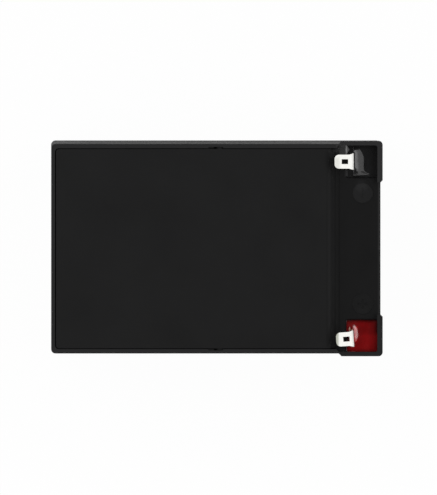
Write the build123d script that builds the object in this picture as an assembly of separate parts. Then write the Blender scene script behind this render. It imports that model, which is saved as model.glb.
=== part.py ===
from build123d import *
from collections import namedtuple
import os

# A sealed lead acid battery of six cells, standing on its base with its terminals up.
# Millimetres, +Z up, +X towards the end with the terminals, origin at the middle of the base.

# Outside
case_length = 150.0
case_width = 95.5
case_height = 95.0
corner_radius = 2.0
tab_rise = 6.0

# Guards, the raised corners around the two terminals
guard_reach_x = 1.0
guard_reach_y = 1.25
guard_wall = 2.4
guard_side_wall = 1.95
guard_length = 19.0
guard_run = 17.6
guard_round = 1.9
guard_top_round = 0.35
guard_foot_chamfer = 0.8

# Jar
jar_wall = 2.5
jar_floor = 2.8
partition_wall = 1.6
cell_columns = 3
seam_chamfer = 0.4
base_round = 1.0
foot_width = 6.0
foot_recess = 0.6
gate_radius = 3.5
gate_depth = 0.4

# Joint of jar and lid: tongues and partitions stand in grooves that are filled with resin
tongue_width = 1.2
tongue_height = 2.5
fit_gap = 0.15
bond_thickness = 0.5
groove_root = 1.0
rib_wall = 1.2
rib_clearance = 1.0

# Lid
deck_thickness = 2.2
rim_width = 2.0
rim_end_width = 1.75
rim_round = 0.4
ledge_width = 1.6
strip_length = 18.7
strip_drop = 3.5
strip_skin = 2.2
well_depth = 3.3
strip_round = 0.4
well_length = 14.2
well_width = 14.65
well_corner = 1.0
well_edge_break = 0.5
support_radius = 2.2

# Top plate over the valves
plate_thickness = 2.0
plate_gap = 0.25
plate_end_gap = 0.45
plate_corner = 1.5
plate_edge_round = 0.3
nose_length = 5.8
nose_edge = 0.15
nose_seat = 4.2
retainer_radius = 4.6
retainer_wall = 1.2
retainer_depth = 0.6

# Gas outlets in the middle of both long sides
vent_x = -0.5
vent_length = 6.6
vent_width = 0.6
vent_depth = 0.7
channel_width = 1.6
channel_depth = 0.5
locator_x = 1.25
locator_width = 2.0
locator_reach = 0.5

# Valve ports and their rubber caps
port_shift = 6.0
port_bore = 2.5
port_radius = 4.0
cap_radius = 5.2
cap_top = 1.2
cap_lift = 0.4
cap_clearance = 0.05
cap_round = 0.4

# Polarity marks
disc_inset = 8.1
disc_spacing = 4.85
disc_radius = 4.6
disc_rise = 0.3
sign_length = 4.6
sign_width = 1.0

# Plates and mats of a cell
positive_count = 5
positive_thickness = 3.0
negative_thickness = 2.0
plate_side_gap = 1.2
mat_side_gap = 0.4
mat_rise = 2.0

# Lead that joins the plates and the cells
lug_width = 8.0
lug_height = 5.0
strap_width = 12.0
strap_thickness = 4.0
strap_wall_gap = 1.0
flag_thickness = 2.2
flag_width = 10.0
flag_rise = 3.6
head_clearance = 0.6
weld_radius = 2.6
weld_rise = 0.5
weld_clearance = 0.05

# Posts and their sealed sockets
post_inset = 8.5
post_radius = 2.0
post_gap = 0.1
socket_radius = 3.8
socket_wall = 1.6
socket_depth = 5.2
socket_floor = 1.8
seal_clearance = 0.03
resin_drop = 1.1
mound_reach = 4.4
mound_crest = 0.4
mound_rise = 1.2

# Terminal tabs
sheet = 0.8
bend_radius = 0.5
blade_width = 6.35
leg_width = 7.3
leg_setback = 3.7
flare_start = 2.1
flare_end = 0.5
tip_corner = 2.0
bevel_length = 1.0
bevel_depth = 0.2
lock_hole_length = 2.9
lock_hole_width = 2.2
lock_hole_inset = 4.7
foot_reach = 3.5
foot_margin = 3.3
solder_clearance = 0.1
solder_height = 1.0
post_rise = 0.8
negative_blade = 8.7
negative_shift = 0.5
negative_yaw = 0.0
positive_blade = 8.0
positive_shift = 1.6
positive_yaw = 4.0

# Places that follow from the sizes above
x_left = -(case_length + guard_reach_x) / 2
x_right = x_left + case_length
y_side = case_width / 2
x_guard = x_right + guard_reach_x
y_guard = y_side + guard_reach_y
guard_end = y_side - guard_run

ledge_height = case_height - plate_thickness
strip_height = case_height - strip_drop
deck_top = strip_height - well_depth
ceiling = deck_top - deck_thickness
groove_top = ceiling - groove_root
tongue_top = groove_top - bond_thickness
seam_height = tongue_top - tongue_height
rib_bottom = seam_height + rib_clearance
port_top = ledge_height - retainer_depth - cap_top

tongue_inset = jar_wall - tongue_width
strip_start = x_right - strip_length
seat_start = strip_start - nose_seat
recess_left = x_left + rim_end_width
recess_side = y_side - rim_width

well_x = (x_guard - guard_wall - well_length, x_guard - guard_wall)
well_y = (y_guard - guard_side_wall - well_width, y_guard - guard_side_wall)
resin_level = strip_height - resin_drop
post_x = x_right - post_inset
post_y = y_side - post_inset
disc_x = x_right - disc_inset
disc_y = guard_end - disc_spacing

inner_left = x_left + jar_wall
inner_side = y_side - jar_wall
cell_length = (case_length - 2 * jar_wall - (cell_columns - 1) * partition_wall) / cell_columns
cell_width = inner_side - partition_wall / 2
mat_count = 2 * positive_count
mat_thickness = (cell_width - positive_count * positive_thickness
                 - (positive_count + 1) * negative_thickness) / mat_count
plate_pitch = positive_thickness + negative_thickness + 2 * mat_thickness
flag_top = seam_height - head_clearance
strap_high = flag_top - flag_rise
strap_low = strap_high - strap_thickness
plate_top = strap_low - lug_height
weld_height = strap_high + weld_rise
terminal_top = case_height + tab_rise
solder_radius = leg_setback - bend_radius - solder_clearance
post_top = deck_top + sheet + post_rise

# A cell's box inside the jar; end is +1 where its positive strap is at its +X end, otherwise -1
Cell = namedtuple("Cell", "number x_low x_high y_low y_high end")

# A terminal: the side of the case that it is on, and the form of its tab
Terminal = namedtuple("Terminal", "side blade shift yaw")
positive_terminal = Terminal(-1, positive_blade, positive_shift, positive_yaw)
negative_terminal = Terminal(1, negative_blade, negative_shift, negative_yaw)


def block(xs, ys, zs):
    """A box between two planes on each axis, given in either order."""
    size = [abs(pair[1] - pair[0]) for pair in (xs, ys, zs)]
    middle = [(pair[0] + pair[1]) / 2 for pair in (xs, ys, zs)]
    return Location(tuple(middle)) * Box(*size)


def centred(middle, length):
    """The two ends of a length around its middle."""
    return middle - length / 2, middle + length / 2


def upright(radius, x, y, zs):
    """A round bar along Z."""
    bar = Cylinder(radius, zs[1] - zs[0], align=(Align.CENTER, Align.CENTER, Align.MIN))
    return Location((x, y, zs[0])) * bar


def rounded_block(xs, ys, zs, radius):
    """A box whose four upright edges are rounded."""
    outline = RectangleRounded(abs(xs[1] - xs[0]), abs(ys[1] - ys[0]), radius)
    place = Location(((xs[0] + xs[1]) / 2, (ys[0] + ys[1]) / 2, min(zs)))
    return place * extrude(outline, abs(zs[1] - zs[0]))


def case_block(inset, zs):
    """The outline of the case, moved inwards, over a range of heights."""
    radius = max(corner_radius - inset, fit_gap)
    return rounded_block((x_left + inset, x_right - inset), (inset - y_side, y_side - inset), zs, radius)


def lay_out_cells():
    """The cells in the order of the current, from the positive terminal to the negative one."""
    cells = []
    for side in (-1, 1):
        columns = list(range(cell_columns))
        if side < 0:
            columns.reverse()
        for column in columns:
            x_low = inner_left + column * (cell_length + partition_wall)
            y_pair = sorted((side * partition_wall / 2, side * inner_side))
            cells.append(Cell(len(cells) + 1, x_low, x_low + cell_length, y_pair[0], y_pair[1], -side))
    return cells


def cell_block(cell, inset, zs):
    """A cell's own box, moved inwards, over a range of heights."""
    xs = (cell.x_low + inset, cell.x_high - inset)
    ys = (cell.y_low + inset, cell.y_high - inset)
    return block(xs, ys, zs)


def strap_wall(cell, end):
    """The wall at one end of a cell, and the direction from it into the cell."""
    if end > 0:
        return cell.x_high, -1
    return cell.x_low, 1


def strap_middle(cell, end):
    """The middle of the strap at one end of a cell."""
    wall, inward = strap_wall(cell, end)
    return wall + inward * (strap_wall_gap + strap_width / 2)


def weld_bar(first, second, radius, length):
    """A round bar through the partition between two cells that follow each other."""
    bar = Cylinder(radius, length)
    if first.end == second.end:
        wall, inward = strap_wall(first, -first.end)
        x = wall - inward * partition_wall / 2
        y = (first.y_low + first.y_high) / 2
        return Location((x, y, weld_height), (0, 90, 0)) * bar
    x = strap_middle(first, -first.end)
    return Location((x, 0, weld_height), (90, 0, 0)) * bar


def make_jar(cells):
    """The lower case: walls, partitions, tongues, weld holes and a foot ring."""
    body = case_block(0, (0, seam_height))
    body = fillet(body.edges().group_by(Axis.Z)[0], base_round)
    body = chamfer(body.edges().group_by(Axis.Z)[-1], seam_chamfer)
    jar = body + case_block(tongue_inset, (seam_height - tongue_width, tongue_top))
    for cell in cells:
        jar -= cell_block(cell, 0, (jar_floor, tongue_top))
    for first, second in zip(cells, cells[1:]):
        jar -= weld_bar(first, second, weld_radius, 2 * partition_wall)
    jar -= case_block(foot_width, (0, foot_recess))
    for cell in cells:
        x = (cell.x_low + cell.x_high) / 2
        y = (cell.y_low + cell.y_high) / 2
        jar -= upright(gate_radius, x, y, (0, foot_recess + gate_depth))
    return jar


def make_lid_bond(cells):
    """The hard resin between the tongues and the bottom of the lid's grooves."""
    bond = case_block(tongue_inset - fit_gap, (tongue_top, groove_top))
    for cell in cells:
        bond -= cell_block(cell, fit_gap, (tongue_top, groove_top))
    return bond


def make_guard(side):
    """One raised corner around a terminal: a wall along the side and a wall along the end."""
    outline = make_face(Polyline(
        (x_right - guard_length, side * guard_end),
        (x_right - guard_length, side * y_side),
        (x_right - guard_length + guard_reach_y, side * y_guard),
        (x_guard, side * y_guard),
        (x_guard, side * (guard_end + guard_reach_x)),
        (x_right, side * guard_end),
        close=True))
    outline = fillet(outline.vertices().sort_by_distance((x_guard, side * y_guard, 0))[0], guard_round)
    guard = extrude(Plane.XY.offset(seam_height) * outline, case_height - seam_height, dir=(0, 0, 1))
    guard = fillet(guard.edges().group_by(Axis.Z)[-1], guard_top_round)
    guard = chamfer(guard.edges().group_by(Axis.Z)[0], guard_foot_chamfer)
    inner_x = (x_right - 2 * guard_length, x_guard - guard_wall)
    inner_y = (0, side * (y_guard - guard_side_wall))
    return guard - block(inner_x, inner_y, (seam_height, case_height))


def well_block(side, zs):
    """The well around a post, over a range of heights."""
    ys = (side * well_y[0], side * well_y[1])
    return rounded_block(well_x, ys, zs, well_corner)


def socket(side, radius, zs):
    """A round bar on the axis of a post."""
    return upright(radius, post_x, side * post_y, zs)


def port_places(cells):
    """The middle of each valve port, one to a cell."""
    return [((cell.x_low + cell.x_high) / 2 - port_shift, (cell.y_low + cell.y_high) / 2) for cell in cells]


def support_places(cells):
    """The studs that carry the top plate, above the partitions."""
    row = [cell for cell in cells if cell.end < 0]
    places = []
    for cell in row[1:]:
        x = cell.x_low - partition_wall / 2
        y = (cell.y_low + cell.y_high) / 2
        places += [(x, -y), (x, 0), (x, y)]
    return places


def cut_lid_top(lid):
    """The sunk strip at the terminal end, the recess of the top plate and the valve chamber."""
    sides = (-recess_side, recess_side)
    lid -= block((seat_start, x_guard), sides, (strip_height, case_height))
    round_x = (x_right - strip_round, x_right)
    strip_edge = block(round_x, sides, (strip_height - strip_round, strip_height))
    bar = Cylinder(strip_round, 2 * y_side, rotation=(90, 0, 0))
    lid -= strip_edge - Location((round_x[0], 0, strip_height - strip_round)) * bar
    recess_corner = plate_corner + plate_gap
    recess_end = seat_start + 2 * recess_corner
    recess = rounded_block((recess_left, recess_end), sides, (ledge_height, case_height), recess_corner)
    lid -= recess & block((recess_left, seat_start), sides, (ledge_height, case_height))
    chamber_side = recess_side - ledge_width
    chamber_x = (recess_left + ledge_width, seat_start)
    lid -= block(chamber_x, (-chamber_side, chamber_side), (deck_top, ledge_height))
    return lid


def cut_lid_underside(lid, cells):
    """The grooves for tongues and partitions, a pocket over each cell and the pockets under the strip."""
    groove_inset = tongue_inset - fit_gap
    lid -= case_block(groove_inset, (seam_height, rib_bottom))
    grooves = case_block(groove_inset, (rib_bottom, groove_top))
    for cell in cells:
        grooves -= cell_block(cell, fit_gap, (rib_bottom, groove_top))
    lid -= grooves
    pocket_inset = fit_gap + rib_wall
    for cell in cells:
        lid -= cell_block(cell, pocket_inset, (rib_bottom, ceiling))
    for cell in (cells[0], cells[-1]):
        inner = cell.y_high if cell.end > 0 else cell.y_low
        outer = well_y[0] - deck_thickness
        xs = (seat_start + deck_thickness, cell.x_high - pocket_inset)
        ys = (inner - cell.end * pocket_inset, -cell.end * outer)
        lid -= block(xs, ys, (ceiling, strip_height - strip_skin))
    return lid


def add_ports(lid, cells):
    """A short tube over each cell for its valve cap, and the studs under the top plate."""
    for x, y in port_places(cells):
        lid += upright(port_radius, x, y, (ceiling, port_top))
        lid -= upright(port_bore, x, y, (ceiling, port_top))
    for x, y in support_places(cells):
        lid += upright(support_radius, x, y, (ceiling, ledge_height))
    return lid


def add_sockets(lid):
    """The cup under each well that holds a post's seal ring."""
    cup_floor = deck_top - socket_depth
    cup_base = cup_floor - socket_floor
    for side in (-1, 1):
        lid += socket(side, socket_radius + socket_wall, (cup_base, ceiling + deck_thickness / 2))
        lid -= socket(side, socket_radius, (cup_floor, deck_top))
        lid -= socket(side, post_radius + post_gap, (cup_base, cup_floor))
    return lid


def cut_vents(lid):
    """A notch in the rim on both long sides, and the channel that leads gas to it."""
    for side in (-1, 1):
        notch_y = (side * recess_side, side * (recess_side + vent_width))
        lid -= block(centred(vent_x, vent_length), notch_y, (case_height - vent_depth, case_height))
        channel_x = centred(vent_x, channel_width)
        channel_y = (side * (recess_side - ledge_width), side * recess_side)
        lid -= block(channel_x, channel_y, (ledge_height - channel_depth, ledge_height))
        riser_y = (side * (recess_side - plate_gap), side * (recess_side + vent_width))
        lid -= block(channel_x, riser_y, (ledge_height - channel_depth, case_height - vent_depth))
    return lid


def add_polarity_marks(lid):
    """A raised disc beside each guard with a sunk plus or minus sign."""
    for side in (-1, 1):
        y = side * disc_y
        lid += upright(disc_radius, disc_x, y, (strip_height - disc_rise, strip_height + disc_rise))
        heights = (strip_height, strip_height + disc_rise)
        lid -= block(centred(disc_x, sign_width), centred(y, sign_length), heights)
        if side == positive_terminal.side:
            lid -= block(centred(disc_x, sign_length), centred(y, sign_width), heights)
    return lid


def well_cutter(side):
    """The well with its two edges in the sunk strip broken by a small slope."""
    middle = ((well_x[0] + well_x[1]) / 2, side * (well_y[0] + well_y[1]) / 2, strip_height - well_edge_break)
    slope = extrude(RectangleRounded(well_length, well_width, well_corner), well_edge_break, taper=-45)
    strip_side = block((0, well_x[1]), (0, side * well_y[1]), (deck_top, strip_height))
    return well_block(side, (deck_top, case_height)) + ((Location(middle) * slope) & strip_side)


def side_pocket(side):
    """Where the strip widens behind a guard's wall, from the nose of the top plate to the well."""
    step = well_y[1] - recess_side
    start = x_right - guard_length - step
    end = well_x[0] + well_corner
    outline = make_face(Polyline(
        (start, side * recess_side), (start + step, side * well_y[1]), (end, side * well_y[1]),
        (end, side * recess_side), close=True))
    return extrude(Plane.XY.offset(strip_height) * outline, case_height - strip_height, dir=(0, 0, 1))


def make_lid(cells):
    """The cover that is bonded on the jar."""
    lid = case_block(0, (seam_height, case_height))
    lid = fillet(lid.edges().group_by(Axis.Z)[-1], rim_round)
    lid = chamfer(lid.edges().group_by(Axis.Z)[0], seam_chamfer)
    lid = cut_lid_top(lid)
    for side in (-1, 1):
        lid += make_guard(side)
        lid -= well_cutter(side)
        lid -= side_pocket(side)
    lid = cut_lid_underside(lid, cells)
    lid = add_ports(lid, cells)
    lid = add_sockets(lid)
    lid = cut_vents(lid)
    return add_polarity_marks(lid)


def make_top_plate(cells):
    """The thin cover over the valves, with a rounded nose that falls to the strip."""
    left = recess_left + plate_end_gap
    side = recess_side - plate_gap
    fall_start = (strip_start - nose_length, case_height)
    fall_end = (strip_start, strip_height + nose_edge)
    foot_start = seat_start + plate_gap
    section = Polyline(
        fall_end, (strip_start, strip_height), (foot_start, strip_height), (foot_start, ledge_height),
        (left, ledge_height), (left, case_height), fall_start)
    section += Spline(fall_start, fall_end, tangents=((1, 0), (1, 0)))
    plate = extrude(make_face(Plane.XZ * section), side, both=True)
    outline_x = (left, strip_start + plate_corner)
    plate &= rounded_block(outline_x, (-side, side), (strip_height, case_height), plate_corner)
    sharp = plate.faces().filter_by(Axis.Z).sort_by(Axis.Z)[-1].edges()
    sharp = sharp.filter_by(lambda edge: edge.center().X < fall_start[0] - plate_edge_round)
    plate = fillet(sharp, plate_edge_round)
    for x, y in port_places(cells):
        heights = (ledge_height - retainer_depth, ledge_height)
        plate += upright(retainer_radius, x, y, heights)
        plate -= upright(retainer_radius - retainer_wall, x, y, heights)
    for way in (-1, 1):
        reach = (way * (side - locator_reach), way * (side + plate_gap + locator_reach))
        heights = (case_height - vent_depth, case_height - plate_edge_round)
        plate += block(centred(locator_x, locator_width), reach, heights)
    return plate


def make_valve_cap(x, y):
    """A rubber cup pushed over a port, which lifts to let gas out."""
    low = deck_top + cap_lift
    cap = upright(cap_radius, x, y, (low, port_top + cap_top))
    cap = fillet(cap.edges().group_by(Axis.Z)[-1], cap_round)
    return cap - upright(port_radius + cap_clearance, x, y, (low, port_top))


def positive_place(cell, index):
    """The lower Y face of a positive plate."""
    return cell.y_low + negative_thickness + mat_thickness + index * plate_pitch


def make_plate_group(cell, polarity):
    """All plates of one polarity in a cell with their lugs, strap, and flag or post."""
    end = polarity * cell.end
    middle = strap_middle(cell, end)
    strap_y = (cell.y_low + strap_wall_gap, cell.y_high - strap_wall_gap)
    group = block(centred(middle, strap_width), strap_y, (strap_low, strap_high))
    plate_x = (cell.x_low + plate_side_gap, cell.x_high - plate_side_gap)
    lug_x = centred(middle, lug_width)
    if polarity > 0:
        faces = [(positive_place(cell, index), positive_thickness) for index in range(positive_count)]
        plate_low = jar_floor + mat_thickness
    else:
        places = [cell.y_low + index * plate_pitch for index in range(positive_count + 1)]
        faces = [(place, negative_thickness) for place in places]
        plate_low = jar_floor
    for low, thickness in faces:
        ys = (low, low + thickness)
        group += block(plate_x, ys, (plate_low, plate_top))
        group += block(lug_x, ys, (plate_top - lug_height, strap_low + strap_thickness / 2))
    return group + strap_outlet(cell, polarity)


def strap_outlet(cell, polarity):
    """What carries a strap's current on: a post at the ends of the chain, otherwise a flag."""
    side = -cell.end
    strap_end = polarity * cell.end
    if (cell.number, polarity) in ((1, 1), (2 * cell_columns, -1)):
        return socket(side, post_radius, (strap_low + strap_thickness / 2, post_top))
    heights = (strap_low, flag_top)
    if (cell.number, polarity) in ((cell_columns, -1), (cell_columns + 1, 1)):
        face = side * partition_wall / 2
        flag_x = centred(strap_middle(cell, strap_end), flag_width)
        return block(flag_x, (face, face + side * flag_thickness), heights)
    wall, inward = strap_wall(cell, strap_end)
    flag_y = centred((cell.y_low + cell.y_high) / 2, flag_width)
    return block((wall, wall + inward * flag_thickness), flag_y, heights)


def make_glass_mats(cell):
    """A felt of glass fibre folded in a U around each positive plate."""
    xs = (cell.x_low + mat_side_gap, cell.x_high - mat_side_gap)
    mats = []
    for index in range(positive_count):
        low = positive_place(cell, index)
        high = low + positive_thickness
        mat = block(xs, (low - mat_thickness, high + mat_thickness), (jar_floor, plate_top + mat_rise))
        mat -= block(xs, (low, high), (jar_floor + mat_thickness, plate_top + mat_rise))
        mats.append(mat)
    return Compound(mats)


def leg_place(terminal):
    """Where the outer face of a tab's leg stands, and the way that it is turned."""
    leg_y = terminal.side * (post_y + terminal.shift)
    return Location((post_x - leg_setback, leg_y, 0), (0, 0, terminal.yaw))


def make_tab(terminal):
    """A stamped tab: a foot around the post, a leg and a blade that points away from the end."""
    tip = -terminal.blade
    base = deck_top
    top = terminal_top
    outer_radius = bend_radius + sheet
    foot_end = leg_setback + foot_reach
    section = make_face(Plane.XZ * Polyline(
        (tip, top - bevel_depth), (tip + bevel_length, top), (0, top), (0, base + sheet),
        (foot_end, base + sheet), (foot_end, base), (-sheet, base), (-sheet, top - sheet),
        (tip + bevel_length, top - sheet), (tip, top - sheet + bevel_depth), close=True))
    for x, z, radius in ((0, top, outer_radius), (0, base + sheet, bend_radius),
                         (-sheet, base, outer_radius), (-sheet, top - sheet, bend_radius)):
        corner = section.vertices().sort_by_distance((x, 0, z))[0]
        section = fillet(corner, radius)

    post_aside = -terminal.side * terminal.shift
    foot_low = min(-leg_width / 2, post_aside - foot_margin)
    foot_high = max(leg_width / 2, post_aside + foot_margin)
    half = blade_width / 2
    blade = make_face(Polyline(
        (tip, -half), (-flare_start, -half), (-flare_end, -leg_width / 2), (bend_radius, -leg_width / 2),
        (bend_radius, leg_width / 2), (-flare_end, leg_width / 2), (-flare_start, half), (tip, half),
        close=True))
    blade = fillet(blade.vertices().group_by(Axis.X)[0], tip_corner)
    outline = extrude(Plane.XY.offset(base) * blade, top - base, dir=(0, 0, 1))
    outline += block((bend_radius, foot_end), (foot_low, foot_high), (base, base + sheet))
    tab = extrude(section, 2 * leg_width, both=True) & outline
    hole_x = centred(tip + lock_hole_inset, lock_hole_length)
    tab -= block(hole_x, centred(0, lock_hole_width), (top - 2 * sheet, top))

    tab = leg_place(terminal) * tab
    return tab - socket(terminal.side, post_radius + post_gap, (base, base + sheet))


def make_solder(side):
    """The cone of solder that joins a tab's foot to its post."""
    low = deck_top + sheet
    cone = Cone(solder_radius, post_radius, solder_height, align=(Align.CENTER, Align.CENTER, Align.MIN))
    cone = Location((post_x, side * post_y, low)) * cone
    return cone - socket(side, post_radius, (low, low + solder_height))


def make_seal_ring(side):
    """The rubber ring that seals a post in its cup."""
    middle = (post_radius + socket_radius) / 2
    section = (socket_radius - post_radius) / 2 - seal_clearance
    ring = Torus(middle, section)
    return Location((post_x, side * post_y, deck_top - socket_depth + section)) * ring


def make_mound(terminal):
    """The slope of resin that was drawn up around a leg as it set."""
    foot = RectangleRounded(sheet + 2 * mound_reach, leg_width + 2 * mound_reach, mound_reach)
    crest = RectangleRounded(sheet + 2 * mound_crest, leg_width + 2 * mound_crest, mound_crest)
    heights = (resin_level, resin_level + mound_rise)
    mound = loft([Plane.XY.offset(heights[0]) * foot, Plane.XY.offset(heights[1]) * crest])
    mound = leg_place(terminal) * (Location((-sheet / 2, 0, 0)) * mound)
    return mound & well_block(terminal.side, heights)


def make_resin(terminal, metal):
    """The cast resin that fills a well and its cup around the metal of the terminal."""
    side = terminal.side
    ring_top = deck_top - socket_depth + (socket_radius - post_radius)
    resin = well_block(side, (deck_top, resin_level)) + make_mound(terminal)
    resin += socket(side, socket_radius, (ring_top, deck_top))
    resin -= socket(side, post_radius, (ring_top, resin_level))
    for piece in metal:
        resin -= piece
    return resin


def make_nodes():
    """Every piece of the battery by its name."""
    cells = lay_out_cells()
    nodes = {
        "jar": make_jar(cells),
        "lid": make_lid(cells),
        "top_plate": make_top_plate(cells),
        "lid_bond": make_lid_bond(cells),
    }
    for cell, place in zip(cells, port_places(cells)):
        nodes[f"valve_cap_{cell.number}"] = make_valve_cap(*place)
        nodes[f"positive_plates_{cell.number}"] = make_plate_group(cell, 1)
        nodes[f"negative_plates_{cell.number}"] = make_plate_group(cell, -1)
        nodes[f"glass_mats_{cell.number}"] = make_glass_mats(cell)
    for first, second in zip(cells, cells[1:]):
        link = weld_bar(first, second, weld_radius - weld_clearance, partition_wall)
        nodes[f"cell_link_{first.number}_{second.number}"] = link
    for name, terminal in (("positive", positive_terminal), ("negative", negative_terminal)):
        tab = make_tab(terminal)
        solder = make_solder(terminal.side)
        nodes[f"{name}_tab"] = tab
        nodes[f"{name}_solder"] = solder
        nodes[f"{name}_seal_ring"] = make_seal_ring(terminal.side)
        nodes[f"{name}_resin"] = make_resin(terminal, (tab, solder))
    return nodes


os.makedirs("parts", exist_ok=True)
for name, shape in make_nodes().items():
    export_step(shape, f"parts/{name}.step")
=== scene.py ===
# Looks of a sealed lead acid battery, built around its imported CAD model. Metres, in the model's own frame.
import math

import bmesh
import bpy
from bpy.props import FloatProperty, FloatVectorProperty, PointerProperty
from mathutils import Matrix, Vector


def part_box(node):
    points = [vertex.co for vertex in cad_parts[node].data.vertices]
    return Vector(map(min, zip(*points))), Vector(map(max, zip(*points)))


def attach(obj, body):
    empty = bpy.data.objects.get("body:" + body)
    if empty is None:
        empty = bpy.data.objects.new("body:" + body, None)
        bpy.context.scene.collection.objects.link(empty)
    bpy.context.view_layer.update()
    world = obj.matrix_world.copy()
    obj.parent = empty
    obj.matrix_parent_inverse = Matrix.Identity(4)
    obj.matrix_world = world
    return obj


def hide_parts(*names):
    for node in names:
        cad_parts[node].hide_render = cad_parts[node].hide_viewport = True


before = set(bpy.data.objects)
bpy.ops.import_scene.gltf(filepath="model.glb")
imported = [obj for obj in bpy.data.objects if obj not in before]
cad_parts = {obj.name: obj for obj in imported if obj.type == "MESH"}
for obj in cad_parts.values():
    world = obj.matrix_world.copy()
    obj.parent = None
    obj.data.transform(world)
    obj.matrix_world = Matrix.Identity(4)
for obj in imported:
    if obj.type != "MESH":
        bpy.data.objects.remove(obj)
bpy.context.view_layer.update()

bl_info = {
    "name": "Sealed Battery Finish",
    "version": (1, 0, 0),
    "blender": (4, 5, 0),
    "location": "3D View > Sidebar > Battery",
    "description": "Dresses a sealed lead acid battery: moulded case, cast resin, tinned tabs and studio",
    "category": "Object",
}

MM = 0.001
BODY = "root"
CELLS = range(1, 7)


def mm(*parts):
    """Millimetres as metres."""
    return tuple(part * MM for part in parts)


# Heights in millimetres, for the zones of tone, most of them painted light or shade
RIM = 95.0
STRIP = 91.5
LEVEL = 90.4

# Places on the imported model, in metres
tongue_height = 2.5 * MM
seam_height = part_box("lid_bond")[0].z - tongue_height
case_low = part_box("jar")[0]
case_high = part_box("jar")[1]
case_corner = 2.0 * MM
corner_points = 7
corner_turn = 90.0 / (corner_points - 1)
rim_height = RIM * MM
strip_height = STRIP * MM
resin_level = LEVEL * MM
deck_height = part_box("negative_tab")[0].z
well_x = mm(58.9, 73.1)
well_y = mm(32.4, 47.05)
well_corner = 1.0 * MM
cup_radius = 3.8 * MM
cup_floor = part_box("negative_resin")[0].z
cup_steps = 48
post_place = mm(66.0, 39.25)
leg_face = 62.3 * MM
leg_half = mm(0.4, 3.65)
black_leg_y = 39.75 * MM
red_leg_y = -40.85 * MM
red_leg_yaw = math.radians(4.0)
disc_x = 66.4 * MM
disc_y = 25.3 * MM
disc_radius = 4.6 * MM
partitions = (("X", -24.93 * MM), ("X", 23.93 * MM), ("Y", 0.0))

# The resin along the walls of its well and at a leg, and how far its fine mesh goes on around them
fine_at_wall = 1.5
fine_at_leg = 4.0
least_gap = 0.6
wall_fall = 3.2
wall_sway = 0.2
ripple_depth = 0.02 * MM
ripple_stretch = 0.6
lesser_share = 0.25
toe_round = 0.25 * MM
cling_reach = 0.42 * MM
cling_slope = 0.6
bend_round = 0.9 * MM

# The dent at the corner of the black mound, and its tail along the inner wall
dent_place = mm(62.7, 35.15)
dent_reach = 1.3 * MM
dent_level = 0.95 * MM
tail_y = 33.55 * MM
tail_turn = 0.045
tail_side = 0.65 * MM
tail_flare = 1.5
tail_pinch = 0.3 / MM
tail_pinch_x = 65.6 * MM
tail_slope = 0.215
tail_end = 70.3 * MM

# The film over the lip of the black well, with a tongue that runs back into it
lip_height = 0.6 * MM
lip_x = well_x[0] - 0.22 * MM
lip_round = 0.65 * MM
film_x = mm(55.0, 60.6)
film_y = mm(42.0, 47.0)
film_step = 0.12 * MM
film_depth = 0.12 * MM
film_least = 0.01 * MM
film_edge = 0.5 * MM
film_creep = 0.25 * MM
film_sway = 0.3 * MM
film_slopes = (0.30, 0.62)
film_seed = 2.0
tongue_y = 45.1 * MM
tongue_end = 60.5 * MM
tongue_flare = 1.45
tongue_side_slope = 2.0

# Crumbs of solder, and the bead of resin around the seam
bead_places = ((mm(60.45, -36.6, 91.1), mm(0.42, 1.2, 0.5)), (mm(61.6, -37.1, 91.2), mm(0.38, 0.6, 0.4)))
bead_unevenness = 0.12
seam_inset = 0.34 * MM
seam_step = 0.8 * MM
seam_bulge = 0.20 * MM
seam_tallness = 1.25
seam_unevenness = 0.35
seam_sides = 8

# Marks on the finishes: shares, changes of roughness, sizes and depths
cloud_tones = (0.92, 1.08)
wear_patch_share = 0.3
smear_share = 0.6
lint_share = 0.10
smear_gloss = -0.05
rub_gloss = -0.10
resin_tones = (-0.10, 0.06)
resin_smear = 0.08
resin_wave = 3.5 * MM
resin_wave_depth = 0.02 * MM
scratch_dulling = 0.10
patch_dulling = 0.06
bare_edge_share = 0.45
palest_crumb = 1.1
crumb_dulling = 0.1
# The polarity discs' edges, and the arcs painted as highlights on their outer sides
disc_edge = 0.4 * MM
arc_edge = 2.6 * MM
arc_shift = 3.2 * MM
arc_lean = 0.6 * MM
arc_radius = 0.8 * disc_radius
faint_share = 0.14

# Lamps, floor and surroundings, in metres
key_distance = 1.35
key_size = (1.1, 1.3)
panel_distance = 1.0
panel_size = (0.25, 1.30)
strip_size = (0.125, 0.80)
white = (1.0, 1.0, 1.0, 1.0)
floor_paint = (0.9, 0.9, 0.9, 1.0)
dim_above = 0.97
bright_below = 0.35


def setting(kind=FloatProperty, **limits):
    """What declares a setting of one kind from its name, description and default."""
    return lambda name, note, value: kind(name=name, description=note, default=value, **limits)


length = setting(min=0.0, subtype="DISTANCE", unit="LENGTH")
share = setting(min=0.0, max=1.0, subtype="FACTOR")
amount = setting(min=0.0, max=100.0)
turn = setting(subtype="ANGLE", unit="ROTATION")
tint = setting(FloatVectorProperty, min=0.0, max=1.0, size=3, subtype="COLOR")
point = setting(FloatVectorProperty, size=3, subtype="TRANSLATION", unit="LENGTH")


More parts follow.
